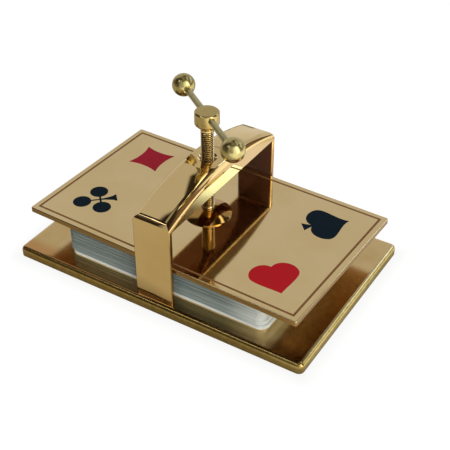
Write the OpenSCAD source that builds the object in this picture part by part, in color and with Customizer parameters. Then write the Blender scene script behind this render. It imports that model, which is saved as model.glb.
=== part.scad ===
// Card press. A pack of playing cards lies on a brass base, and a screw in a bridge over it
// forces a brass plate down on the pack so that the cards stay flat.
// X runs along the base, Y across it, Z is up. The origin is on the resting face, at its centre.

/* [Cards] */
// Length of a card
card_l = 88; // [80:0.5:92]
// Width of a card
card_w = 63; // [56:0.5:64]
// Height of the pack under the plate
pack_h = 13.85; // [6:0.05:20]
// How far the pack lies off centre along the base
pack_shift = -0.8; // [-3:0.1:3]
// Corner radius of a card
card_corner_r = 3.5; // [1:0.5:6]

/* [Base] */
// Thickness of the brass base
base_t = 4.2; // [3:0.1:8]
// Room on the base past each end of the pack
end_room = 19.2; // [10:0.2:30]
// Room on the base past each long side of the pack
side_room = 8.6; // [8.2:0.1:14]
// Radius of the base's upright corners
base_corner_r = 2.2; // [2:0.1:8]
// Radius of the rounded edge round the base's top
base_edge_r = 1.9; // [0.5:0.1:2]
// Thickness of the felt under the base
felt_t = 0.6; // [0.5:0.1:2]
// How far the felt stays back from the base's edge
felt_inset = 1.6; // [1:0.1:4]

/* [Bridge] */
// Width of the bridge along the base
bridge_w = 16; // [13:0.2:22]
// Height of the opening between the base and the bridge
opening_h = 32.4; // [31:0.1:44]
// Thickness of the bridge's beam at its two ends
beam_end_t = 2.7; // [2.6:0.1:6]
// How much the beam's top is crowned at the middle
crown = 6.6; // [3:0.1:8]
// Thickness of a leg
leg_t = 1.5; // [1.3:0.1:2.5]
// How far a leg stands in from the base's long edge
leg_inset = 2.9; // [2.6:0.1:4]
// Radius of the outer bend between the beam and a leg
bend_r = 3.3; // [2.2:0.1:3.4]
// Radius of the edges along the beam's top
bridge_edge_r = 3; // [0.3:0.1:3]
// Height of the rounding down the beam's flanks, at the middle of the beam
flank_h = 4.6; // [3:0.1:6]
// Radius of that rounding
flank_r = 8; // [7:0.5:12]
// Radius of the upright edges outside the legs
leg_edge_r = 0.4; // [0.2:0.1:1.2]
// Fillet inside the bridge, where a leg meets the beam
inner_r = 0.8; // [0.4:0.1:2]
// Height of the pad inside a leg's foot, which takes the leg's screws
pad_h = 3.4; // [3:0.1:6]
// Width of that pad along the base
pad_w = 9.6; // [9.6:0.1:12.5]
// Diameter of the flat land turned on the crown round the screw
land_d = 15.8; // [12:0.2:18]
// Diameter of the countersink at the screw's hole in the beam
mouth_d = 7.5; // [6.6:0.1:10]

/* [Pressing plate] */
// Thickness of the pressing plate
plate_t = 2; // [1.8:0.1:4]
// How far the plate's ends stay back from the base's ends
plate_inset = 3.4; // [1:0.1:10]
// Gap between the plate and each leg, with the plate square
leg_gap = 0.45; // [0.45:0.05:2]
// How far the plate has turned in the bridge
plate_turn = -1.8; // [-2:0.1:2]
// Radius of the plate's upright corners
plate_corner_r = 0.9; // [0.6:0.1:4]
// Radius of the edge round the plate's top
plate_edge_r = 0.4; // [0.2:0.05:0.6]
// Distance from the plate's edge to the middle of the engraved border
border_inset = 2.6; // [1.5:0.1:6]
// Width of the border line
border_w = 0.9; // [0.5:0.1:2]
// Depth of the engraved pockets
pocket_depth = 0.4; // [0.3:0.05:0.8]
// How far the enamel lies below the plate's face
enamel_sink = 0.03; // [0.02:0.01:0.1]

/* [Symbols] */
// Distance from the plate's end to a symbol's outer point
symbol_end_inset = 11.8; // [9:0.1:16]
// Distance from the plate's long side to a symbol's outer point
symbol_side_inset = 10; // [8:0.1:11]
// Length of the heart from notch to tip
heart_l = 14.9; // [12:0.1:16]
// Length of the spade from tip to stem foot
spade_l = 18.4; // [14:0.1:19]
// Distance between opposite points of the diamond
diamond_d = 19.4; // [14:0.1:20]
// How far the diamond's sides are hollowed
diamond_hollow = 1.2; // [0.4:0.1:1.6]
// Radius of a club leaf
leaf_r = 3.6; // [2.8:0.1:3.6]
// Distance between the two side leaves
leaf_span = 10.7; // [9.6:0.1:12]
// Distance from the top leaf to the line of the side leaves
leaf_drop = 7.2; // [6.6:0.1:9]
// How much farther in from the plate's long side the club lies than the other symbols
club_in = 1.4; // [0:0.1:2]

/* [Pressure foot] */
// Diameter of the foot
foot_d = 18.4; // [18.4:0.2:26]
// Height of the foot's upright rim
foot_rim_h = 0.4; // [0.3:0.05:1.5]
// Height of the foot's dome above its rim
foot_dome_h = 2.6; // [2.6:0.1:4]

/* [Press screw] */
// Outside diameter of the screw's thread
screw_d = 5; // [4.8:0.1:6]
// Diameter of the journal that turns in the foot
journal_d = 3.5; // [3.2:0.1:4]
// Diameter of the head
head_d = 9.3; // [8:0.1:14]
// Height of the head's straight part
head_h = 5.1; // [4.4:0.1:8]
// Height of the taper under the head
head_taper_h = 2.1; // [1:0.1:4]
// Chamfer round the head's top
head_chamfer = 0.5; // [0.2:0.1:0.7]
// Height of the head above the beam's crown with the pack in the press
head_rise = 12.1; // [4:0.1:20]

/* [Tommy bar] */
// Diameter of the bar
bar_d = 2.4; // [2:0.1:2.8]
// Metal left over the bar's hole in the head
bar_cover = 0.8; // [0.7:0.1:1]
// Distance from the middle of the bar to the middle of a ball
bar_reach = 24.8; // [18:0.1:36]
// Direction that the bar points in, seen from above
bar_turn = -36.5; // [-90:0.5:90]
// Diameter of a ball
ball_d = 8.9; // [7:0.1:12]

/* [Fastenings and fits] */
// Diameter of the four screws that hold the legs
leg_screw_d = 2.5; // [2:0.1:2.5]
// Diameter of the three screws that hold the foot on the plate
foot_screw_d = 1.8; // [1.6:0.1:2.2]
// Diameter of the screw that keeps the press screw in the foot
keeper_d = 2; // [1.6:0.1:2]
// Thickness of the keeper's washer
washer_t = 0.55; // [0.4:0.05:0.8]
// Clearance of a fit, on the radius or along the axis
fit_gap = 0.05; // [0.03:0.01:0.08]
// Gap between the pack and the pads beside it
card_gap = 0.5; // [0.4:0.1:1]

/* [Hidden] */
$fn = 64;
over = 1;
arc_fn = 360;
curve_steps = 14;
symbol_axis = 45;
slot_w = 0.5;
pad_wall = 0.75;
foot_screw_count = 3;

base_l = card_l + 2 * end_room;
base_w = card_w + 2 * side_room;
base_top = felt_t + base_t;

// Bridge outline, seen along the base
span = base_w - 2 * leg_inset;
inner_span = span - 2 * leg_t;
beam_z = base_top + opening_h;
crown_z = beam_z + beam_end_t + crown;
crown_r = (pow(span / 2, 2) + pow(crown, 2)) / (2 * crown);
crown_centre_z = crown_z - crown_r;
bend_y = span / 2 - bend_r;
bend_z = crown_centre_z + sqrt(pow(crown_r - bend_r, 2) - pow(bend_y, 2));
bend_angle = atan2(bend_z - crown_centre_z, bend_y);
relief = 0.02;
land_z = crown_z - 0.4;

// Pads in the legs' feet, and their screws
pad_d = side_room - leg_inset - card_gap;
pad_reach = pad_d - leg_t;
leg_screw_x = pad_w / 2 - leg_screw_d / 2 - pad_wall;
leg_screw_y = span / 2 - pad_d / 2;
leg_tap_h = pad_h - 0.4;
csk_ratio = 1.9;

// Pressing plate, on the pack
plate_l = base_l - 2 * plate_inset;
plate_w = inner_span - 2 * leg_gap;
plate_z = base_top + pack_h + fit_gap;
plate_top = plate_z + plate_t;

// Swivel in the foot, measured up from the plate's top
keeper_head_d = keeper_d * 1.9;
keeper_head_h = 1.3;
keeper_grip = 4;
washer_rim = 1.65;
washer_d = journal_d + 2 * washer_rim;
recess_d = washer_d + 0.8;
recess_h = washer_t + 2 * fit_gap;
ledge_top = recess_h + 1.25;
foot_r = foot_d / 2;
dome_r = (pow(foot_r, 2) + pow(foot_dome_h, 2)) / (2 * foot_dome_h);
foot_h = foot_rim_h + foot_dome_h;
foot_screw_r = recess_d / 2 + foot_screw_d;
foot_tap_h = foot_rim_h + 1;

// Screw heights
shoulder_z = plate_top + ledge_top + fit_gap;
journal_z = plate_top + recess_h - fit_gap;
head_z = crown_z + head_rise;
head_top = head_z + head_taper_h + head_h;
bar_z = head_top - bar_cover - bar_d / 2;

// Ball ends
ball_r = ball_d / 2;
flat_r = bar_d / 2 + 0.35;
flat_at = sqrt(pow(ball_r, 2) - pow(flat_r, 2));
spigot_d = bar_d - 0.5;
spigot_l = flat_at - 0.2;

// Section with a flat bottom and two rounded top corners
module soft_section(w, t, r) {
    translate([-w / 2, 0]) square([w, t - r]);
    translate([r - w / 2, 0]) square([w - 2 * r, t]);
    for (side = [-1, 1])
        translate([side * (w / 2 - r), t - r]) circle(r);
}

// Plate with upright corners of one radius and a rounded top edge of another
module soft_plate(l, w, t, corner_r, edge_r) {
    rotate([90, 0, 90])
        linear_extrude(l - 2 * corner_r, center = true) soft_section(w, t, edge_r);
    rotate([90, 0, 0])
        linear_extrude(w - 2 * corner_r, center = true) soft_section(l, t, edge_r);
    for (x = [-1, 1], y = [-1, 1])
        translate([x * (l / 2 - corner_r), y * (w / 2 - corner_r), 0])
            rotate_extrude()
                intersection() {
                    soft_section(2 * corner_r, t, edge_r);
                    square([corner_r, t]);
                }
}

// Flat rectangle with rounded corners
module round_rect(l, w, r) {
    square([l - 2 * r, w], center = true);
    square([l, w - 2 * r], center = true);
    for (x = [-1, 1], y = [-1, 1])
        translate([x * (l / 2 - r), y * (w / 2 - r)]) circle(r);
}

// Countersunk screw with its head at z = 0 and its shank up, or the hole for it
module countersunk(d, l, gap = 0) {
    cylinder(d = d + 2 * gap, h = l);
    cylinder(d1 = d * csk_ratio + 2 * gap, d2 = d + 2 * gap, h = d * (csk_ratio - 1) / 2);
}

// Slot across a screw's head
module driver_slot(d, depth) {
    translate([0, 0, depth / 2 - over / 2])
        cube([d + over, slot_w, depth + over], center = true);
}

// Places of the screws in the legs' feet
module at_leg_screws() {
    for (x = [-1, 1], y = [-1, 1])
        translate([x * leg_screw_x, y * leg_screw_y, felt_t]) children();
}

// Places of the screws that hold the foot on the plate
module at_foot_screws() {
    for (i = [0 : foot_screw_count - 1])
        rotate([0, 0, 360 * i / foot_screw_count])
            translate([foot_screw_r, 0, 0]) children();
}

// Everything on the pressing plate turns with it
module on_plate(z) {
    translate([0, 0, z]) rotate([0, 0, plate_turn]) children();
}

// Point at t on a cubic curve with end points a and d
function bezier(a, b, c, d, t) =
    pow(1 - t, 3) * a + 3 * pow(1 - t, 2) * t * b + 3 * (1 - t) * t * t * c + pow(t, 3) * d;

// One side of a symbol, as two curves that meet at the widest point
function flank(p) = [
    for (i = [0 : curve_steps]) bezier(p[0], p[1], p[2], p[3], i / curve_steps),
    for (i = [1 : curve_steps]) bezier(p[3], p[4], p[5], p[6], i / curve_steps)
];

// The same side mirrored in the symbol's axis, run backwards to close the outline
function other_flank(q) = [for (i = [len(q) - 1 : -1 : 0]) [q[i][0], -q[i][1]]];

// Heart with its tip at the origin and its notch along -X, for a length of 1 from notch to tip
heart_flank = flank([
    [-1, 0], [-1.25, 0.24], [-1.01, 0.65], [-0.685, 0.62], [-0.49, 0.607], [-0.175, 0.15], [0, 0]
]);
module heart_shape() {
    polygon(heart_l * concat(heart_flank, other_flank(heart_flank)));
}

// Spade with its tip at the origin and its stem along -X, for a length of 1
spade_flank = concat(flank([
    [0, 0], [-0.25, 0.115], [-0.38, 0.53], [-0.59, 0.51], [-0.775, 0.49], [-0.965, 0.235], [-0.82, 0.035]
]), [[-0.92, 0.08], [-1, 0.126]]);
module spade_shape() {
    polygon(spade_l * concat(spade_flank, other_flank(spade_flank)));
}

// Diamond with a point at the origin: a square turned by half a right angle, its sides hollowed by arcs
module diamond_shape() {
    side = diamond_d / sqrt(2);
    arc_r = (pow(side / 2, 2) + pow(diamond_hollow, 2)) / (2 * diamond_hollow);
    translate([-diamond_d / 2, 0])
        difference() {
            rotate(symbol_axis) square(side, center = true);
            for (i = [0 : 3])
                rotate(symbol_axis + 90 * i)
                    translate([side / 2 + arc_r - diamond_hollow, 0]) circle(arc_r, $fn = arc_fn);
        }
}

// Club with the top leaf's edge at the origin, side leaves on short necks and a stem that flares
stem_w = 0.8;
stem_foot_w = 4.6;
stem_foot_x = -leaf_r * 4.8;
module club_shape() {
    side_x = -leaf_r - leaf_drop;
    translate([-leaf_r, 0]) circle(leaf_r);
    for (side = [-1, 1])
        translate([side_x, side * leaf_span / 2]) circle(leaf_r);
    translate([side_x, 0]) square([stem_w, leaf_span], center = true);
    flare = [[-leaf_r, stem_w / 2], [side_x, stem_w / 2], [side_x - leaf_r / 2, stem_w * 0.75],
             [stem_foot_x + leaf_r / 2, stem_foot_w * 0.28], [stem_foot_x, stem_foot_w / 2]];
    polygon(concat(flare, other_flank(flare)));
}

// Puts a symbol in a corner of the plate, pointing along the corner's diagonal
module in_corner(x, y) {
    translate([x * (plate_l / 2 - symbol_end_inset), y * (plate_w / 2 - symbol_side_inset)])
        rotate(atan2(y, x)) children();
}

module diamond_place() { in_corner(-1, 1) diamond_shape(); }
module club_place() { translate([0, club_in]) in_corner(-1, -1) club_shape(); }
module heart_place() { in_corner(1, -1) heart_shape(); }
module spade_place() { in_corner(1, 1) spade_shape(); }

module border_line() {
    difference() {
        square([plate_l - 2 * border_inset + border_w, plate_w - 2 * border_inset + border_w], center = true);
        square([plate_l - 2 * border_inset - border_w, plate_w - 2 * border_inset - border_w], center = true);
    }
}

// Enamel that fills a pocket of the given outline to just below the face
module enamel() {
    on_plate(plate_top - pocket_depth)
        linear_extrude(pocket_depth - enamel_sink) children();
}

module base_plate() {
    color("#b5925a")
        difference() {
            translate([0, 0, felt_t]) soft_plate(base_l, base_w, base_t, base_corner_r, base_edge_r);
            at_leg_screws() {
                translate([0, 0, -over]) cylinder(d = leg_screw_d + 2 * fit_gap, h = base_t + 2 * over);
                countersunk(leg_screw_d, base_t + over, fit_gap);
            }
        }
}

module base_felt() {
    color("#1f4a34")
        linear_extrude(felt_t)
            round_rect(base_l - 2 * felt_inset, base_w - 2 * felt_inset, base_corner_r);
}

// Half of the beam's section, out to the crown, with its edges rounded
module beam_section() {
    w = bridge_w + 2 * relief;
    translate([0, -w / 2]) square([crown_r - bridge_edge_r, w]);
    translate([0, bridge_edge_r - w / 2]) square([crown_r, w - 2 * bridge_edge_r]);
    for (side = [-1, 1])
        translate([crown_r - bridge_edge_r, side * (w / 2 - bridge_edge_r)]) circle(bridge_edge_r);
}

// Upright block as wide as the bridge, cut by a disc that gives the beam its crown
module crowned_block() {
    intersection() {
        translate([0, 0, base_top]) linear_extrude(crown_z) round_rect(bridge_w, span, leg_edge_r);
        translate([0, 0, crown_centre_z])
            rotate([0, 90, 0]) rotate_extrude($fn = arc_fn) beam_section();
    }
}

// Metal outside the bend between the crown and a leg
module bend_waste() {
    reach = 3 * bend_r;
    translate([0, bend_y, bend_z])
        rotate([90, 0, 90])
            linear_extrude(bridge_w + 2 * over, center = true)
                difference() {
                    polygon([[0, 0], [reach, 0], [reach, reach], [reach / tan(bend_angle), reach]]);
                    circle(bend_r + relief);
                }
}

// Metal outside the rounding down one flank of the beam
module flank_waste() {
    flank_x = bridge_w / 2 + relief - flank_r;
    rotate([90, 0, 0])
        linear_extrude(span + 2 * over, center = true)
            translate([flank_x, crown_z - flank_h])
                difference() {
                    square([flank_r + over, flank_r]);
                    circle(flank_r);
                }
}

// Space between the legs, up to the beam
module bridge_cavity() {
    depth = beam_z - base_top + over;
    rotate([90, 0, 90])
        linear_extrude(bridge_w + 2 * over, center = true)
            translate([0, base_top - over]) {
                translate([-inner_span / 2, -crown_r]) square([inner_span, depth - inner_r + crown_r]);
                translate([inner_r - inner_span / 2, -crown_r]) square([inner_span - 2 * inner_r, depth + crown_r]);
                for (side = [-1, 1])
                    translate([side * (inner_span / 2 - inner_r), depth - inner_r]) circle(inner_r);
            }
}

module bridge() {
    color("#c9a765")
        difference() {
            union() {
                difference() {
                    crowned_block();
                    bridge_cavity();
                    bend_waste();
                    mirror([0, 1, 0]) bend_waste();
                    flank_waste();
                    mirror([1, 0, 0]) flank_waste();
                }
                for (side = [-1, 1])
                    translate([0, side * (inner_span - pad_reach) / 2, base_top + pad_h / 2])
                        cube([pad_w, pad_reach, pad_h], center = true);
            }
            cylinder(d = screw_d + 2 * fit_gap, h = crown_z + over);
            translate([0, 0, land_z]) cylinder(d = land_d, h = 2 * over);
            translate([0, 0, land_z - (mouth_d - screw_d) / 2])
                cylinder(d1 = screw_d, d2 = mouth_d + 2 * over, h = (mouth_d - screw_d) / 2 + over);
            at_leg_screws() cylinder(d = leg_screw_d + 2 * fit_gap, h = base_t + leg_tap_h);
        }
}

module leg_screws() {
    color("#a88a52")
        at_leg_screws()
            difference() {
                countersunk(leg_screw_d, base_t + leg_tap_h - 0.3);
                driver_slot(leg_screw_d * csk_ratio, slot_w);
            }
}

module press_plate() {
    color("#c2a777")
        difference() {
            on_plate(plate_z) soft_plate(plate_l, plate_w, plate_t, plate_corner_r, plate_edge_r);
            on_plate(plate_top - pocket_depth)
                linear_extrude(pocket_depth + over) {
                    border_line();
                    diamond_place();
                    club_place();
                    heart_place();
                    spade_place();
                }
            translate([0, 0, plate_z - over]) cylinder(d = keeper_head_d + 1.4, h = plate_t + 2 * over);
            on_plate(plate_z)
                at_foot_screws() {
                    translate([0, 0, -over]) cylinder(d = foot_screw_d + 2 * fit_gap, h = plate_t + 2 * over);
                    countersunk(foot_screw_d, plate_t + over, fit_gap);
                }
        }
}

module border_enamel() { color("#5b3a22") enamel() border_line(); }
module diamond_enamel() { color("#a11428") enamel() diamond_place(); }
module club_enamel() { color("#0b1522") enamel() club_place(); }
module heart_enamel() { color("#a01a22") enamel() heart_place(); }
module spade_enamel() { color("#0b1522") enamel() spade_place(); }

// Foot: rim, dome, a seat for the screw's shoulder and a recess for the keeper's washer
module pressure_foot() {
    color("#b08a45")
        on_plate(plate_top)
            difference() {
                rotate_extrude() {
                    square([foot_r, foot_rim_h]);
                    intersection() {
                        translate([0, foot_h - dome_r]) circle(dome_r, $fn = arc_fn);
                        square([foot_r, foot_h]);
                    }
                }
                translate([0, 0, -over]) cylinder(d = recess_d, h = recess_h + over);
                cylinder(d = journal_d + 2 * fit_gap, h = foot_h);
                translate([0, 0, ledge_top]) cylinder(d = screw_d + 2 * fit_gap, h = foot_h);
                at_foot_screws()
                    translate([0, 0, -over]) cylinder(d = foot_screw_d + 2 * fit_gap, h = foot_tap_h + over);
            }
}

module foot_screws() {
    color("#a88a52")
        on_plate(plate_z)
            at_foot_screws()
                difference() {
                    countersunk(foot_screw_d, plate_t + foot_tap_h - 0.2);
                    driver_slot(foot_screw_d * csk_ratio, slot_w);
                }
}

// Screw turned from one bar: head, taper, threaded shank and journal
module press_screw() {
    color("#b39347")
        difference() {
            rotate_extrude()
                polygon([
                    [0, journal_z], [journal_d / 2, journal_z], [journal_d / 2, shoulder_z],
                    [screw_d / 2, shoulder_z], [screw_d / 2, head_z],
                    [head_d / 2, head_z + head_taper_h], [head_d / 2, head_top - head_chamfer],
                    [head_d / 2 - head_chamfer, head_top], [0, head_top]
                ]);
            translate([0, 0, bar_z])
                rotate([0, 90, bar_turn])
                    cylinder(d = bar_d + 2 * fit_gap, h = head_d + 2 * over, center = true);
            translate([0, 0, journal_z - over]) cylinder(d = keeper_d + 2 * fit_gap, h = keeper_grip * 1.1 + over);
        }
}

module keeper_washer() {
    color("#a88a52")
        translate([0, 0, journal_z - washer_t])
            difference() {
                cylinder(d = washer_d, h = washer_t);
                translate([0, 0, -over]) cylinder(d = keeper_d + 2 * fit_gap, h = washer_t + 2 * over);
            }
}

module keeper_screw() {
    color("#a88a52")
        translate([0, 0, journal_z - washer_t - keeper_head_h])
            difference() {
                union() {
                    cylinder(d = keeper_head_d, h = keeper_head_h);
                    cylinder(d = keeper_d, h = keeper_head_h + washer_t + keeper_grip);
                }
                driver_slot(keeper_head_d, slot_w);
            }
}

// Bar through the head, with a spigot at each end that screws into a ball
module tommy_bar() {
    color("#a89a5e")
        translate([0, 0, bar_z])
            rotate([0, 90, bar_turn]) {
                cylinder(d = bar_d, h = 2 * (bar_reach - flat_at), center = true);
                cylinder(d = spigot_d, h = 2 * (bar_reach - flat_at + spigot_l), center = true);
            }
}

// Ball with a flat and a blind hole where the bar comes in
module ball_end(side) {
    color("#a8923f")
        rotate([0, 0, bar_turn])
            translate([side * bar_reach, 0, bar_z])
                rotate([0, -90 * side, 0])
                    difference() {
                        intersection() {
                            sphere(ball_r);
                            translate([0, 0, flat_at - ball_d / 2]) cube([ball_d + over, ball_d + over, ball_d], center = true);
                        }
                        translate([0, 0, flat_at - spigot_l - 0.2])
                            cylinder(d = spigot_d + 2 * fit_gap, h = spigot_l + over);
                    }
}

module card_pack() {
    color("#c9ced6")
        translate([pack_shift, 0, base_top])
            linear_extrude(pack_h) round_rect(card_l, card_w, card_corner_r);
}

base_plate();
base_felt();
bridge();
leg_screws();
press_plate();
border_enamel();
diamond_enamel();
club_enamel();
heart_enamel();
spade_enamel();
pressure_foot();
foot_screws();
press_screw();
keeper_washer();
keeper_screw();
tommy_bar();
ball_end(1);  // ball_end_near
ball_end(-1);  // ball_end_far
card_pack();
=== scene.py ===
"""Looks of the card press: brass finishes, enamel, felt, a cut thread and a pack of separate cards.

Lengths are in metres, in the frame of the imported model: X along the base, Y across it, Z up.
Colours are linear red, green and blue.
"""

import math
import random

import bmesh
import bpy
from mathutils import Matrix, Vector


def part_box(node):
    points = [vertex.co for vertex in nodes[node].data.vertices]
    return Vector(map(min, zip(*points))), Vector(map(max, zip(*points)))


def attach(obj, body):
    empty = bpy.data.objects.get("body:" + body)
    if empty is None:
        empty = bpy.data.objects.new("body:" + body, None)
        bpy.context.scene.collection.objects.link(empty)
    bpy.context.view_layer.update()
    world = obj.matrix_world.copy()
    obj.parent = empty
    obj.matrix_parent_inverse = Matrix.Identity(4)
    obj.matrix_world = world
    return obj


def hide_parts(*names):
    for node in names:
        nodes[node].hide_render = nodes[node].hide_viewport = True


MM = 0.001

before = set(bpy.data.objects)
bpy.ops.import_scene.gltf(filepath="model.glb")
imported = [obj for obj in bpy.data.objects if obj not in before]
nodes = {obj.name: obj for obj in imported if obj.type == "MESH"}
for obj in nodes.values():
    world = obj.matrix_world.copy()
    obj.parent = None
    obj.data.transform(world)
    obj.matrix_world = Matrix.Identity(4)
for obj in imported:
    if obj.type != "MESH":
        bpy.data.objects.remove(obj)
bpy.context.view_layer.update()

# Sockets of the Mix node that belong to colours
MIX_FIRST, MIX_SECOND, MIX_RESULT = 6, 7, 2

# Millimetres past a face at which a finish has ended, and up to which it is full
FACE_CLEAR, FACE_IN = 0.08, 0.02


class Value:
    """A node's output, so that shader maths can be written as sums."""

    def __init__(self, finish, socket):
        self.finish = finish
        self.socket = socket

    def sum(self, operation, first, second=0.0):
        return self.finish.node("ShaderNodeMath", {"operation": operation}, {0: first, 1: second})

    def __add__(self, other):
        return self.sum("ADD", self, other)

    def __radd__(self, other):
        return self.sum("ADD", other, self)

    def __sub__(self, other):
        return self.sum("SUBTRACT", self, other)

    def __rsub__(self, other):
        return self.sum("SUBTRACT", other, self)

    def __mul__(self, other):
        return self.sum("MULTIPLY", self, other)

    def __rmul__(self, other):
        return self.sum("MULTIPLY", other, self)

    def __truediv__(self, other):
        return self.sum("DIVIDE", self, other)

    def __rtruediv__(self, other):
        return self.sum("DIVIDE", other, self)

    def __pow__(self, other):
        return self.sum("POWER", self, other)

    def floor(self):
        return self.sum("FLOOR", self)

    def wave(self):
        return self.sum("SINE", self)

    def at_least(self, other):
        return self.sum("MAXIMUM", self, other)

    def size(self):
        return self.sum("ABSOLUTE", self)

    def angle_from(self, ahead):
        """Turn in degrees of a direction with this part to the side and the other ahead."""
        return self.sum("ARCTAN2", self, ahead) * (180 / math.pi)

    def rising_angle(self):
        """Height in degrees of a direction with this upward part."""
        return self.sum("ARCSINE", self) * (180 / math.pi)

    def rise(self, start, end):
        """0 below start, 1 above end and smooth in between; start may be the larger."""
        return self.finish.node(
            "ShaderNodeMapRange",
            {"interpolation_type": "SMOOTHSTEP"},
            {"Value": self, "From Min": start, "From Max": end},
        )

    def up_to(self, limit):
        """1 up to just past a limit in millimetres, so that a face at the limit is in."""
        return self.rise(limit + FACE_CLEAR, limit + FACE_IN)


class Finish:
    """A node tree that is built from single nodes."""

    def __init__(self, tree):
        self.tree = tree
        tree.nodes.clear()

    def node(self, kind, settings=None, inputs=None, out=0):
        """Adds a node: its settings first, then the values or links of its sockets."""
        made = self.tree.nodes.new(kind)
        for name, setting in (settings or {}).items():
            setattr(made, name, setting)
        for name, given in (inputs or {}).items():
            if isinstance(given, Value):
                self.tree.links.new(given.socket, made.inputs[name])
            else:
                made.inputs[name].default_value = given
        return Value(self, made.outputs[out]) if made.outputs else None

    def parts(self, kind, names, inputs=None):
        """Several outputs of one new node."""
        outputs = self.node(kind, None, inputs).socket.node.outputs
        return [Value(self, outputs[name]) for name in names]

    def blend(self, factor, first, second):
        """Mix of two colours: the first where the factor is 0, the second where it is 1."""
        return self.node(
            "ShaderNodeMix",
            {"data_type": "RGBA"},
            {0: factor, MIX_FIRST: shade(first), MIX_SECOND: shade(second)},
            MIX_RESULT,
        )

    def place(self, stretch=(1, 1, 1)):
        """Place on the piece in millimetres, each axis times its stretch."""
        spot = self.node("ShaderNodeTexCoord", out="Object")
        return self.node(
            "ShaderNodeVectorMath",
            {"operation": "MULTIPLY"},
            {0: spot, 1: tuple(s / MM for s in stretch)},
        )

    def axes(self, vector):
        """The three parts of a vector."""
        return self.parts("ShaderNodeSeparateXYZ", "XYZ", {0: vector})

    def noise(self, place, per_mm, detail=2.0, rough=0.5):
        """Cloudy pattern from 0 to 1."""
        return self.node(
            "ShaderNodeTexNoise",
            None,
            {"Vector": place, "Scale": per_mm, "Detail": detail, "Roughness": rough},
        )

    def bump(self, height, depth_mm, under=None):
        """Normal of a surface that rises by the depth where the height is 1."""
        inputs = {"Height": height, "Distance": depth_mm * MM, "Strength": 1.0}
        if under:
            inputs["Normal"] = under
        return self.node("ShaderNodeBump", None, inputs)

    def surface(self, **sockets):
        """Principled surface; the sockets are named with _ for a blank."""
        named = {name.replace("_", " "): given for name, given in sockets.items()}
        shader = self.node("ShaderNodeBsdfPrincipled", None, named)
        self.node("ShaderNodeOutputMaterial", None, {"Surface": shader})


def shade(given):
    """A colour with its alpha, or a link as it is."""
    return given if isinstance(given, Value) else (*given, 1.0)


def material(name):
    made = bpy.data.materials.new(name)
    made.use_nodes = True
    return made, Finish(made.node_tree)


# Places on the pieces in millimetres, for finishes and for painted light and shade that differ from
# side to side. A pair is where a part of a finish or of the painted light begins and where it is
# full.
BASE_HALF_L = 63.2
BASE_HALF_W = 40.1
BASE_EDGE_W = 1.6
BASE_WORN = (0.0, 1.2)
BASE_FRONT_STRIP = (-31.0, -37.0)
BASE_FRONT_EDGE = (-37.0, -39.0)
BASE_REFLECTION_ALONG = (-20.0, 10.0)
BEAM_LOW = 37.2
BEAM_HALF_W = 8.0
MIDDLE = -0.5
INSIDE_SHADE_FROM = (BEAM_HALF_W - 0.35, BEAM_HALF_W - 0.65)
RIM_START = BEAM_HALF_W - 0.6
LEG_IN = 35.7
LEG_SIDE = (BEAM_HALF_W - 0.5, BEAM_HALF_W - 0.1)
LEG_TOP = (36.0, 31.0)
LOWEST_LAYERS = (4.5, 0.5)
PACK_RIGHT_END = (24.0, 42.0)

# Radius of the thread's crest, and how many millimetres in from it the cut's painted shade begins
# and is full
CREST = 2.5 * MM
CUT_SHADE = (0.04, 0.26)

# How far polishing has taken the bridge down past its middle and its inner rims: millimetres
# for one millimetre past, growing with the square
DOWN_PAST_MIDDLE = 0.011
DOWN_PAST_RIM = 1.1

# Marks of the tools: rings as radians a millimetre, and depths in millimetres
TURNING_RINGS = 38.0
FINE_MARKS = 0.0008
GRAIN = 0.0006
HOLLOWS = 0.02
BASE_HOLLOWS = 0.012
PIN_HOLES = -0.01
FLUFF = 0.15


def polished_brass():
    """Bridge: a mirror polish outside and along its inner rims, and rougher from casting inside.

    Inside, its colour is painted dark as shade, and a strip left bright along the inner rims is a
    painted highlight. The legs' sides are painted darker as shade.
    """
    made, f = material("polished_brass")
    spot = f.place()
    x, y, z = f.axes(spot)
    within = z.up_to(BEAM_LOW) * y.size().up_to(LEG_IN)
    # Inside, below the beam and between the legs, the colour is painted dark as shade; a strip
    # along the inner rims is left bright as a painted highlight
    inside = within * x.size().rise(*INSIDE_SHADE_FROM)
    clouds = f.noise(spot, 0.06, 3.0)
    inside_shade = f.blend(clouds, (0.2, 0.095, 0.06), (0.14, 0.06, 0.035))
    polish_and_shade = f.blend(clouds.rise(0.35, 0.7), (0.8, 0.6, 0.3), (0.75, 0.55, 0.25))
    # Painted shade: the legs' sides, below their bend, are painted a darker brown
    leg_side_shade = z.rise(*LEG_TOP) * x.size().rise(*LEG_SIDE)
    polish_and_shade = f.blend(leg_side_shade, polish_and_shade, (0.46, 0.3, 0.13))
    hairs = f.noise(f.place((0.25, 9, 9)), 1.0, 1.0).rise(0.66, 0.74)
    wiped = f.noise(spot, 0.35, 4.0).rise(0.45, 0.75)
    hollows = f.bump(f.noise(spot, 0.09, 1.0), HOLLOWS)
    past_middle = (x - MIDDLE).at_least(0.0)
    past_rim = (x.size() - RIM_START).at_least(0.0) * within
    height = past_middle * past_middle * -DOWN_PAST_MIDDLE - past_rim * past_rim * DOWN_PAST_RIM
    f.surface(
        Base_Color=f.blend(inside, polish_and_shade, inside_shade),
        Metallic=1.0 - 0.3 * inside,
        Roughness=0.035 + 0.03 * wiped + 0.05 * hairs + 0.1 * inside,
        Normal=f.bump(height, 1.0, hollows),
    )
    return made


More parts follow.
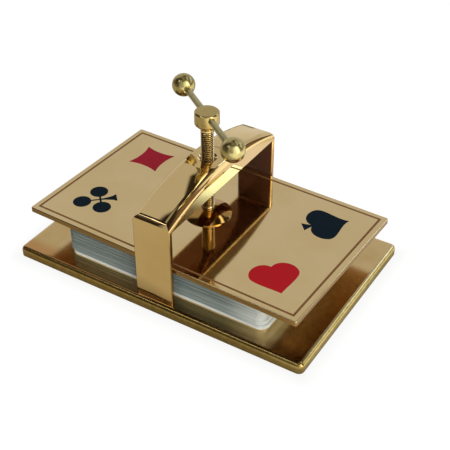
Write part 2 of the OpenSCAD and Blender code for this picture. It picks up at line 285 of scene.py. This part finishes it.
def base_brass():
    """Base: handled more, so its polish is softer and its edges olive.

    The front strip of its top carries a painted reflection, and its front edge is painted darker as
    shade.
    """
    made, f = material("base_brass")
    spot = f.place()
    x, y, _ = f.axes(spot)
    past_l = x.size() - (BASE_HALF_L - BASE_EDGE_W)
    past_w = y.size() - (BASE_HALF_W - BASE_EDGE_W)
    edge = past_l.at_least(past_w).rise(*BASE_WORN)
    top = f.blend(f.noise(spot, 0.07, 4.0).rise(0.3, 0.7), (0.78, 0.58, 0.3), (0.68, 0.49, 0.22))
    # Painted reflection on the front strip of the top: reddish at the left, dark brown at the right
    painted_reflection = f.blend(x.rise(*BASE_REFLECTION_ALONG), (0.62, 0.32, 0.12), (0.32, 0.2, 0.09))
    top = f.blend(y.rise(*BASE_FRONT_STRIP) * 0.8, top, painted_reflection)
    # Painted shade: the front edge is given darker colours than the other edges
    front = y.rise(*BASE_FRONT_EDGE)
    pale = f.blend(front, (0.74, 0.61, 0.25), (0.46, 0.34, 0.11))
    dark = f.blend(front, (0.56, 0.44, 0.14), (0.34, 0.25, 0.065))
    worn_and_shade = f.blend(f.noise(spot, 0.4, 4.0).rise(0.3, 0.7), pale, dark)
    wiped = f.noise(f.place((0.3, 1, 1)), 0.3, 5.0)
    f.surface(
        Base_Color=f.blend(edge * 0.8, top, worn_and_shade),
        Metallic=1.0,
        Roughness=0.1 + 0.09 * wiped + 0.07 * edge,
        Normal=f.bump(f.noise(spot, 0.25, 2.0), BASE_HOLLOWS),
    )
    return made


def plate_brass():
    """Flat polished plate with a fine grain left by the last buffing, rougher underneath.

    Its underside and its upright edge faces are painted dark as shade.
    """
    made, f = material("plate_brass")
    spot = f.place()
    clouds = f.noise(spot, 0.05, 4.0).rise(0.3, 0.7)
    grain = f.noise(f.place((6, 0.3, 1)), 1.0, 3.0)
    facing = f.axes(f.node("ShaderNodeTexCoord", out="Normal"))[2]
    # Painted shade: the underside and the upright edge faces get darker colours; the underside is
    # also rougher
    under = facing.rise(-0.5, -0.8)
    rim = facing.size().rise(0.7, 0.2)
    colour = f.blend(clouds, (0.84, 0.66, 0.38), (0.8, 0.61, 0.32))
    colour = f.blend(rim, colour, (0.3, 0.18, 0.06))
    f.surface(
        Base_Color=f.blend(under, colour, (0.38, 0.22, 0.085)),
        Metallic=1.0,
        Roughness=0.045 + 0.045 * f.noise(spot, 0.3, 4.0) + 0.015 * grain + 0.2 * under,
        Normal=f.bump(grain, GRAIN),
    )
    return made


def turned_brass(name, pale, dark, dullness):
    """Brass from the lathe: fine rings round the axis."""
    made, f = material(name)
    spot = f.place()
    x, y, z = f.axes(spot)
    radius = (x * x + y * y) ** 0.5
    rings = ((radius + z) * TURNING_RINGS).wave()
    clouds = f.noise(spot, 0.4, 3.0)
    f.surface(
        Base_Color=f.blend(clouds, pale, dark),
        Metallic=1.0,
        Roughness=dullness + 0.1 * clouds,
        Normal=f.bump(rings, FINE_MARKS),
    )
    return made


def thread_brass():
    """Thread: bright crests; the cut is rougher and painted dark as shade."""
    made, f = material("thread_brass")
    x, y, _ = f.axes(f.place())
    radius = (x * x + y * y) ** 0.5
    # Painted shade: the colour darkens from the crest into the cut
    cut = (CREST / MM - radius).rise(*CUT_SHADE)
    f.surface(
        Base_Color=f.blend(cut, (0.95, 0.74, 0.36), (0.1, 0.06, 0.015)),
        Metallic=1.0,
        Roughness=0.17 + 0.25 * cut,
    )
    return made


def satin_brass(name, pale, dark, dullness):
    """Bar and balls: dull satin brass with small rub marks."""
    made, f = material(name)
    spot = f.place()
    clouds = f.noise(spot, 0.5, 4.0)
    rubs = f.noise(spot, 6.0, 2.0)
    f.surface(
        Base_Color=f.blend(clouds.rise(0.3, 0.7), pale, dark),
        Metallic=1.0,
        Roughness=dullness + 0.08 * clouds,
        Normal=f.bump(rubs, FINE_MARKS),
    )
    return made


def screw_brass():
    """Bought-in brass screws, a little tarnished."""
    made, f = material("screw_brass")
    tarnish = f.noise(f.place(), 0.9, 4.0)
    colour = f.blend(tarnish.rise(0.35, 0.7), (0.66, 0.5, 0.22), (0.4, 0.27, 0.11))
    f.surface(Base_Color=colour, Metallic=1.0, Roughness=0.22 + 0.18 * tarnish)
    return made


def enamel(name, colour, dark):
    """Filled enamel, ground flush and dull, with a few pin holes."""
    made, f = material(name)
    spot = f.place()
    pits = f.noise(spot, 5.0, 1.0).rise(0.74, 0.8)
    f.surface(
        Base_Color=f.blend(f.noise(spot, 0.5, 3.0), colour, dark),
        Roughness=0.45 + 0.25 * f.noise(spot, 1.5, 3.0),
        Specular_IOR_Level=0.05,
        Normal=f.bump(pits, PIN_HOLES),
    )
    return made


def felt():
    """Green felt: matted fibres."""
    made, f = material("felt")
    spot = f.place()
    fibres = f.noise(spot, 4.0, 6.0, 0.7)
    colour = f.blend(fibres, (0.012, 0.06, 0.03), (0.04, 0.14, 0.07))
    fluff = f.noise(spot, 9.0, 4.0)
    f.surface(Base_Color=colour, Roughness=0.95, Normal=f.bump(fluff, FLUFF))
    return made


def card_stock(low, card_t):
    """Coated board: each card's edge has its own tone, with darker streaks, in a grey that is
    painted shade under the plate.

    The lowest cards and the pack's right end are painted paler, as painted light.
    """
    made, f = material("card_stock")
    x, _, z = f.axes(f.place())
    layer = ((z - low / MM) / (card_t / MM)).floor()
    own = f.node("ShaderNodeTexWhiteNoise", {"noise_dimensions": "1D"}, {"W": layer})
    streaks = f.noise(f.place((0.12, 0.12, 5)), 1.0, 3.0)
    # Painted shade: the cards' edges are grey, each card a tone of its own
    colour = f.blend(own, (0.09, 0.125, 0.12), (0.34, 0.385, 0.36))
    colour = f.blend(streaks.rise(0.35, 0.75) * 0.6, colour, (0.12, 0.16, 0.18))
    # Painted light: the lowest cards and the pack's right end are painted paler
    painted_lit_cards = (layer.rise(*LOWEST_LAYERS) * 0.8).at_least(x.rise(*PACK_RIGHT_END) * 0.55)
    colour = f.blend(painted_lit_cards, colour, (0.75, 0.77, 0.74))
    f.surface(Base_Color=colour, Roughness=0.45 + 0.15 * streaks, Coat_Weight=0.1)
    return made


FINISHES = {
    "polished_brass": polished_brass(),
    "base_brass": base_brass(),
    "plate_brass": plate_brass(),
    "turned_brass": turned_brass("turned_brass", (0.6, 0.47, 0.2), (0.5, 0.38, 0.14), 0.17),
    # The foot's brass is darker and browner than the other turned brass: partly tarnish, and partly
    # painted shade for the dark it mirrors under the bridge
    "foot_brass_tarnish_and_shade": turned_brass("foot_brass_tarnish_and_shade", (0.54, 0.33, 0.11), (0.42, 0.24, 0.07), 0.05),
    "thread_brass": thread_brass(),
    "satin_brass": satin_brass("satin_brass", (0.58, 0.5, 0.23), (0.46, 0.38, 0.15), 0.22),
    "bar_brass": satin_brass("bar_brass", (0.56, 0.5, 0.27), (0.44, 0.39, 0.2), 0.25),
    "screw_brass": screw_brass(),
    "border_enamel": enamel("border_enamel", (0.12, 0.058, 0.02), (0.07, 0.034, 0.012)),
    "red_enamel": enamel("red_enamel", (0.235, 0.006, 0.009), (0.19, 0.005, 0.008)),
    "crimson_enamel": enamel("crimson_enamel", (0.19, 0.008, 0.017), (0.16, 0.006, 0.013)),
    "black_enamel": enamel("black_enamel", (0.002, 0.006, 0.01), (0.001, 0.004, 0.007)),
    "felt": felt(),
}

NODE_FINISH = {
    "base_plate": "base_brass",
    "base_felt": "felt",
    "bridge": "polished_brass",
    "leg_screws": "screw_brass",
    "press_plate": "plate_brass",
    "border_enamel": "border_enamel",
    "diamond_enamel": "crimson_enamel",
    "club_enamel": "black_enamel",
    "heart_enamel": "red_enamel",
    "spade_enamel": "black_enamel",
    "pressure_foot": "foot_brass_tarnish_and_shade",
    "foot_screws": "screw_brass",
    "keeper_washer": "screw_brass",
    "keeper_screw": "screw_brass",
    "tommy_bar": "bar_brass",
    "ball_end_near": "satin_brass",
    "ball_end_far": "satin_brass",
}
for name, finish in NODE_FINISH.items():
    nodes[name].data.materials.clear()
    nodes[name].data.materials.append(FINISHES[finish])


def add_object(name, data):
    """New object at the origin, in the scene."""
    made = bpy.data.objects.new(name, data)
    bpy.context.scene.collection.objects.link(made)
    return made


def piece(name, mesh, body, finish):
    """Puts a new mesh in the scene, on its body."""
    made = add_object(name, mesh)
    mesh.materials.append(finish)
    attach(made, body)
    return made


SHARP = math.radians(32)


def mesh_of(form, name):
    """Mesh with smooth faces that meet at sharp edges."""
    mesh = bpy.data.meshes.new(name)
    bmesh.ops.recalc_face_normals(form, faces=form.faces)
    form.to_mesh(mesh)
    form.free()
    mesh.shade_smooth()
    mesh.set_sharp_from_angle(angle=SHARP)
    return mesh


def join_rings(form, lower, upper):
    """Faces between two closed rings of as many points."""
    count = len(lower)
    for i in range(count):
        k = (i + 1) % count
        form.faces.new((lower[i], lower[k], upper[k], upper[i]))


# Pack of cards
CARDS = 53
CARD_CORNER = 3.5 * MM
CORNER_STEPS = 7
EDGE_SOFTNESS = 0.03 * MM
CARD_SHARE = 0.96
STRAY = 0.13 * MM
STRAY_TURN = math.radians(0.06)
UPPER_CARDS_LEFT = 0.3 * MM
BOTTOM_CARDS = 4
BOTTOM_OUT = Vector((0.7, -0.3, 0)) * MM


def card_outline(half_l, half_w, corner):
    """Rounded rectangle, counter-clockwise."""
    points = []
    for quarter, (sx, sy) in enumerate([(1, 1), (-1, 1), (-1, -1), (1, -1)]):
        for i in range(CORNER_STEPS + 1):
            turn = math.radians(90 * (quarter + i / CORNER_STEPS))
            points.append((
                sx * (half_l - corner) + corner * math.cos(turn),
                sy * (half_w - corner) + corner * math.sin(turn),
            ))
    return points


def add_card(form, half_l, half_w, place, z0, z1):
    """One card with the edges of its faces just broken."""
    outline = card_outline(half_l, half_w, CARD_CORNER)
    soft = EDGE_SOFTNESS
    rings = []
    for z, inward in ((z0, soft), (z0 + soft, 0), (z1 - soft, 0), (z1, soft)):
        scale_x, scale_y = 1 - inward / half_l, 1 - inward / half_w
        rings.append([
            form.verts.new(place @ Vector((x * scale_x, y * scale_y, z))) for x, y in outline
        ])
    for lower, upper in zip(rings, rings[1:]):
        join_rings(form, lower, upper)
    form.faces.new(list(reversed(rings[0])))
    form.faces.new(rings[-1])


def make_cards():
    low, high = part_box("card_pack")
    centre = (low + high) / 2
    half = (high - low) / 2
    step = (high.z - low.z) / CARDS
    stray = random.Random(11)
    form = bmesh.new()
    for i in range(CARDS):
        shift = Vector((stray.gauss(0, STRAY / 2), stray.gauss(0, STRAY / 2), 0))
        turn = stray.gauss(0, STRAY_TURN)
        if i < BOTTOM_CARDS:
            shift, turn = BOTTOM_OUT * (1 - i / BOTTOM_CARDS), 0.0
        else:
            shift.x -= UPPER_CARDS_LEFT
        middle = Matrix.Translation(Vector((centre.x, centre.y, 0)) + shift)
        z0 = low.z + i * step
        add_card(
            form, half.x, half.y, middle @ Matrix.Rotation(turn, 4, "Z"), z0, z0 + step * CARD_SHARE
        )
    cards = piece("cards", mesh_of(form, "cards"), "pack", card_stock(low.z, step))
    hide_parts("card_pack")


make_cards()

# Press screw, with its thread
ROUND = 96
JOURNAL_R = 1.75 * MM
JOURNAL_H = 1.35 * MM
JOURNAL_CHAMFER = 0.15 * MM
SHOULDER_CHAMFER = 0.2 * MM
COLLAR_H = 1.2 * MM
PITCH = 0.8 * MM
THREAD_DEPTH = 0.42 * MM
THREAD_STEPS = 40
THREAD_FROM_SHOULDER = 1.0 * MM
THREAD_FROM_TAPER = 0.5 * MM
# Turns over which the thread runs out at its ends
RUN_OUT = 1.5
# Share of the pitch and depth of the cut at each point of the thread's section
THREAD_SECTION = [
    (0.0, 0.0), (0.1, 0.0), (0.2, 0.25), (0.45, 0.88), (0.5, 1.0), (0.6, 1.0), (0.65, 0.88),
    (0.9, 0.25),
]
HEAD_R = 4.65 * MM
HEAD_H = 5.1 * MM
HEAD_CHAMFER = 0.5 * MM
HEAD_ROUND = 0.12 * MM
TAPER_H = 2.1 * MM
TAPER_ROUND = 0.35 * MM
# How far the head's lower end covers the shank, and the chamfer of that end
OVERLAP = 0.6 * MM
OVERLAP_CHAMFER = 0.25 * MM
BAR_DOWN = 2.0 * MM
BAR_R = 1.25 * MM
BAR_TURN = math.radians(-36.5)
HOLE_HALF_L = 8 * MM
HOLE_ROUND = 48


def lathe(form, profile, around=ROUND):
    """Turns a profile of (radius, height) round the Z axis; a radius of 0 closes it."""
    rings = []
    for r, z in profile:
        if r == 0:
            rings.append([form.verts.new((0, 0, z))])
        else:
            rings.append([
                form.verts.new((r * math.cos(a), r * math.sin(a), z))
                for a in (2 * math.pi * i / around for i in range(around))
            ])
    for lower, upper in zip(rings, rings[1:]):
        if len(lower) == len(upper):
            join_rings(form, lower, upper)
            continue
        for i in range(around):
            k = (i + 1) % around
            if len(lower) == 1:
                form.faces.new((lower[0], upper[k], upper[i]))
            else:
                form.faces.new((lower[i], lower[k], upper[0]))


def soft_corner(before, corner, after, radius, steps=4):
    """Points that round a corner of a profile."""
    a = (Vector(before) - Vector(corner)).normalized() * radius
    b = (Vector(after) - Vector(corner)).normalized() * radius
    points = []
    for i in range(steps + 1):
        t = i / steps
        points.append(tuple(Vector(corner) + a * (1 - t) ** 2 + b * t ** 2))
    return points


def cut_thread(form, z0, z1):
    """Strip that winds round the shank, right-handed, running out at both ends."""
    turns = int((z1 - z0) / PITCH)
    total = turns * THREAD_STEPS
    columns = []
    for i in range(total + 1):
        turn = i / THREAD_STEPS
        angle = 2 * math.pi * turn
        fade = min(1.0, turn / RUN_OUT, (turns - turn) / RUN_OUT)
        column = []
        for share, depth in THREAD_SECTION:
            r = CREST - THREAD_DEPTH * depth * fade
            z = z0 + (turn + share) * PITCH
            column.append(form.verts.new((r * math.cos(angle), r * math.sin(angle), z)))
        columns.append(column)
    last = len(THREAD_SECTION) - 1
    for i in range(total):
        a, b = columns[i], columns[i + 1]
        for k in range(last):
            form.faces.new((a[k], b[k], b[k + 1], a[k + 1]))
        if i + 1 + THREAD_STEPS <= total:
            c, d = columns[i + THREAD_STEPS], columns[i + 1 + THREAD_STEPS]
            form.faces.new((a[last], b[last], d[0], c[0]))


def head_mesh_of(top, head_z):
    """Head and taper, down to the lower end that covers the shank."""
    low_z = head_z - OVERLAP
    neck = (CREST, head_z)
    head_low = (HEAD_R, top - HEAD_H)
    chamfer_low = (HEAD_R, top - HEAD_CHAMFER)
    chamfer_top = (HEAD_R - HEAD_CHAMFER, top)
    middle = (0, top)
    profile = [(0, low_z), (CREST - OVERLAP_CHAMFER, low_z), (CREST, low_z + OVERLAP_CHAMFER), neck]
    profile += soft_corner(neck, head_low, chamfer_low, TAPER_ROUND)
    profile += soft_corner(head_low, chamfer_low, chamfer_top, HEAD_ROUND, 3)
    profile += soft_corner(chamfer_low, chamfer_top, middle, HEAD_ROUND, 3)
    profile += [(HEAD_R / 2, top), middle]
    form = bmesh.new()
    lathe(form, profile)
    return mesh_of(form, "screw_head")


def drill_head(screw_head, top):
    """Cuts the hole for the bar through the head."""
    form = bmesh.new()
    ends = [(0, -HOLE_HALF_L), (BAR_R, -HOLE_HALF_L), (BAR_R, HOLE_HALF_L), (0, HOLE_HALF_L)]
    lathe(form, ends, HOLE_ROUND)
    lying = Matrix.Rotation(BAR_TURN, 4, "Z") @ Matrix.Rotation(math.pi / 2, 4, "Y")
    form.transform(Matrix.Translation((0, 0, top - BAR_DOWN)) @ lying)
    cutter = add_object("cutter", mesh_of(form, "cutter"))
    drilled = screw_head.modifiers.new("drilled", "BOOLEAN")
    drilled.object = cutter
    drilled.solver = "EXACT"
    graph = bpy.context.evaluated_depsgraph_get()
    cut = bpy.data.meshes.new_from_object(screw_head.evaluated_get(graph))
    screw_head.modifiers.clear()
    screw_head.data = cut
    cut.set_sharp_from_angle(angle=SHARP)
    bpy.data.objects.remove(cutter)


def shank_mesh_of(low_z, head_z):
    """Journal, collar and threaded shank."""
    shoulder_z = low_z + JOURNAL_H
    collar_z = shoulder_z + COLLAR_H
    core_r = CREST - THREAD_DEPTH
    form = bmesh.new()
    lathe(form, [
        (0, low_z), (JOURNAL_R - JOURNAL_CHAMFER, low_z), (JOURNAL_R, low_z + JOURNAL_CHAMFER),
        (JOURNAL_R, shoulder_z), (CREST - SHOULDER_CHAMFER, shoulder_z),
        (CREST, shoulder_z + SHOULDER_CHAMFER), (CREST, collar_z), (core_r, collar_z),
        (core_r, head_z - OVERLAP), (0, head_z - OVERLAP),
    ])
    cut_thread(form, shoulder_z + THREAD_FROM_SHOULDER, head_z - THREAD_FROM_TAPER)
    return mesh_of(form, "press_screw_shank")


def make_press_screw():
    low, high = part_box("press_screw")
    head_z = high.z - HEAD_H - TAPER_H
    head = head_mesh_of(high.z, head_z)
    screw_head = piece("screw_head", head, "screw", FINISHES["turned_brass"])
    drill_head(screw_head, high.z)
    shank = shank_mesh_of(low.z, head_z)
    screw = piece("press_screw_shank", shank, "screw", FINISHES["thread_brass"])
    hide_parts("press_screw")
    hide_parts("press_screw")


make_press_screw()

# Studio
CAMERA_TURN = math.radians(31.8)
CAMERA_RISE = math.radians(36.887)
CAMERA_DISTANCE = 363.478 * MM
CAMERA_TARGET = Vector((9.233, -2.615, 20.0)) * MM
LENS = 76.315
SENSOR = 36
CLIP = (0.01, 50)
AWAY = Vector((-math.sin(CAMERA_TURN), math.cos(CAMERA_TURN), 0))
RIGHT = Vector((math.cos(CAMERA_TURN), math.sin(CAMERA_TURN), 0))
WHITE = (1.0, 1.0, 1.0)

FLOOR_R = 3.0
# Direction in which painted light makes the floor lighter, and the millimetres along it
FLOOR_LIGHT = (RIGHT - AWAY * 0.8).normalized()
FLOOR_LIGHTER = (30.0, 110.0)
# Millimetres from the base's edge over which a painted contact shadow darkens the floor
CONTACT_SHADOW_RAMP = (-4.0, 11.0)
# Grey painted pool of light at the back right: where it begins and ends along X and along Y, in
# millimetres
GREY_X = ((2.0, 20.0), (115.0, 85.0))
GREY_Y = ((46.0, 62.0), (135.0, 95.0))
# How bright the blank floor is by itself, where the camera sees it and where metal mirrors it
FLOOR_BLANK = 0.9
FLOOR_MIRRORED = 0.055

# The room that the metal mirrors. Its parts have a range of turns from the direction in which
# the camera looks and a range of heights, in degrees, the softness of their edges and a colour.
# A later part covers an earlier one.
ROOM_DARK = (0.03, 0.021, 0.014)
# Pale wall ahead: its left and right ends, and its top and its paler foot as slopes
WALL = (0.57, 0.55, 0.51)
WALL_FOOT = (0.76, 0.76, 0.76)
WALL_LEFT = (-60.0, -50.0)
WALL_RIGHT = (53.0, 47.0)
WALL_TOP = (3.2, 2.6)
WALL_FOOT_TOP = (0.5, 0.1)
CEILING = (0.36, 0.34, 0.3)
CEILING_FROM = (73.0, 79.0)
ROOM_AHEAD = [
    # Low furniture at the left
    ((-114, -54), (0, 22), 4.0, (0.12, 0.1, 0.075)),
    # Dark ceiling ahead, at the right
    ((-7, 100), (47, 95), 2.0, (0.03, 0.025, 0.014)),
    # Right wall with its darker upper part and a lit doorway
    ((55, 100), (-30, 36), 5.0, (0.22, 0.15, 0.09)),
    ((55, 100), (37, 47), 2.0, (0.13, 0.1, 0.07)),
    ((64, 86), (12, 31), 3.0, (1.05, 1.05, 0.85)),
    # Window with a brighter corner
    ((48, 66.5), (23, 34.8), 0.9, (1.6, 2.0, 3.3)),
    ((62.5, 66.5), (31, 35.1), 0.4, (2.15, 3.3, 4.9)),
    # Long lamp above the window
    ((30, 92), (54, 60), 1.5, (2.4, 2.3, 1.9)),
    # Grey board at the left
    ((-124, -100), (31, 43), 2.0, (0.13, 0.12, 0.12)),
]
ROOM_BEHIND = [
    # Walls behind the camera
    ((150, 190), (-5, 62), 8.0, (0.5, 0.48, 0.44)),
    ((-190, -131), (-5, 62), 5.0, (0.5, 0.48, 0.44)),
    # Paler wall and a large window beside it, behind at the right
    ((140, 176), (-25, 55), 6.0, (1.5, 1.5, 1.4)),
    ((118, 142), (-25, 55), 8.0, (4.0, 4.0, 3.6)),
    # Long lamp at the left
    ((-130, -100), (46, 52), 1.0, (2.6, 2.5, 2.3)),
]

# Name, direction, width and height, and power of each lamp
LAMPS = [
    ("overhead", (0.1, -0.2, 1), (1.2, 1.2), 22),
    ("front_fill", (0.75, -0.6, 0.35), (1.0, 0.8), 10),
]
LAMP_DISTANCE = 1.4


def make_camera():
    data = bpy.data.cameras.new("camera")
    data.sensor_width = SENSOR
    data.lens = LENS
    data.clip_start, data.clip_end = CLIP
    camera = add_object("camera", data)
    back = -AWAY * math.cos(CAMERA_RISE) + Vector((0, 0, math.sin(CAMERA_RISE)))
    camera.location = CAMERA_TARGET + back * CAMERA_DISTANCE
    camera.rotation_euler = (-back).to_track_quat("-Z", "Y").to_euler()
    bpy.context.scene.camera = camera


def ray_kinds(f):
    """1 for a ray of each kind: seen by the camera, in metal and gloss, and through glass."""
    kinds = ("Is Camera Ray", "Is Glossy Ray", "Is Transmission Ray")
    return f.parts("ShaderNodeLightPath", kinds)


def make_floor():
    """Blank floor with the object's shadow, and a painted contact shadow round the base.

    Metal mirrors it as a table with painted light and shade: a painted contact shadow close to the
    base, painted light at the front right and a grey painted pool of light at the back right.
    """
    form = bmesh.new()
    bmesh.ops.create_circle(form, cap_ends=True, segments=ROUND, radius=FLOOR_R)
    floor = add_object("floor", mesh_of(form, "floor"))
    made, f = material("floor")
    x, y, _ = f.axes(f.place())
    camera, glossy, through = ray_kinds(f)
    # Painted light on the floor, which the metal mirrors: lighter towards the front right
    lighter = (x * FLOOR_LIGHT.x + y * FLOOR_LIGHT.y).rise(*FLOOR_LIGHTER)
    tone = f.blend(lighter, (0.31, 0.275, 0.2), (0.9, 0.88, 0.82))
    # Grey painted pool of light at the back right
    grey = 1.0
    for value, (start, end) in ((y, GREY_Y), (x, GREY_X)):
        grey = grey * value.rise(*start) * value.rise(*end)
    tone = f.blend(grey, tone, (0.6, 0.56, 0.56))
    tone = f.blend(camera, tone, (FLOOR_BLANK, FLOOR_BLANK, FLOOR_BLANK))
    # Painted contact shadow round the base, which the camera also sees
    past_l = (x.size() - BASE_HALF_L).at_least(0.0)
    past_w = (y.size() - BASE_HALF_W).at_least(0.0)
    clear = ((past_l * past_l + past_w * past_w) ** 0.5).rise(*CONTACT_SHADOW_RAMP)
    tone = f.blend(clear, (0.09, 0.075, 0.04), tone)
    paper = f.node("ShaderNodeBsdfDiffuse", None, {"Color": tone})
    white = f.node("ShaderNodeEmission", None, {"Color": shade(WHITE), "Strength": 1.0})
    blank = (camera.at_least(through) * FLOOR_BLANK).at_least(glossy * FLOOR_MIRRORED)
    mixed = f.node("ShaderNodeMixShader", None, {0: blank, 1: paper, 2: white})
    f.node("ShaderNodeOutputMaterial", None, {"Surface": mixed})
    floor.data.materials.append(made)


def make_world():
    """White background for the camera, and round it the room that the metal mirrors."""
    world = bpy.data.worlds.new("studio")
    bpy.context.scene.world = world
    world.use_nodes = True
    f = Finish(world.node_tree)
    ray = f.node("ShaderNodeTexCoord", out="Generated")

    def along(direction):
        inputs = {0: ray, 1: tuple(direction)}
        return f.node("ShaderNodeVectorMath", {"operation": "DOT_PRODUCT"}, inputs, "Value")

    away = along(AWAY)
    up = along((0, 0, 1))
    slope = up / away.at_least(0.02)
    turn = along(RIGHT).angle_from(away)
    height = up.rising_angle()

    def cover(lit, parts):
        """The room with more parts in front of it."""
        for (left, right), (low, high), soft, colour in parts:
            across = turn.rise(left - soft, left + soft) * turn.rise(right + soft, right - soft)
            upward = height.rise(low - soft, low + soft) * height.rise(high + soft, high - soft)
            lit = f.blend(across * upward, lit, colour)
        return lit

    wall = turn.rise(*WALL_LEFT) * turn.rise(*WALL_RIGHT) * slope.rise(*WALL_TOP)
    lit = f.blend(wall, ROOM_DARK, WALL)
    lit = f.blend(wall * slope.rise(*WALL_FOOT_TOP), lit, WALL_FOOT)
    lit = cover(lit, ROOM_AHEAD)
    lit = f.blend(height.rise(*CEILING_FROM), lit, CEILING)
    lit = cover(lit, ROOM_BEHIND)
    camera, _, through = ray_kinds(f)
    shown = f.blend(camera.at_least(through), lit, WHITE)
    backdrop = f.node("ShaderNodeBackground", None, {"Color": shown, "Strength": 1.0})
    f.node("ShaderNodeOutputWorld", None, {"Surface": backdrop})


def add_lamp(name, toward, size, power):
    """Soft lamp in a direction from the object, facing it, that isn't seen itself."""
    data = bpy.data.lights.new(name, "AREA")
    data.shape = "RECTANGLE"
    data.size, data.size_y = size
    data.energy = power
    lamp = add_object(name, data)
    way = Vector(toward).normalized()
    lamp.location = way * LAMP_DISTANCE
    lamp.rotation_euler = (-way).to_track_quat("-Z", "Y").to_euler()
    lamp.visible_glossy = False
    lamp.visible_camera = False


make_camera()
make_floor()
make_world()
for lamp in LAMPS:
    add_lamp(*lamp)

bpy.context.scene.view_settings.view_transform = "Standard"
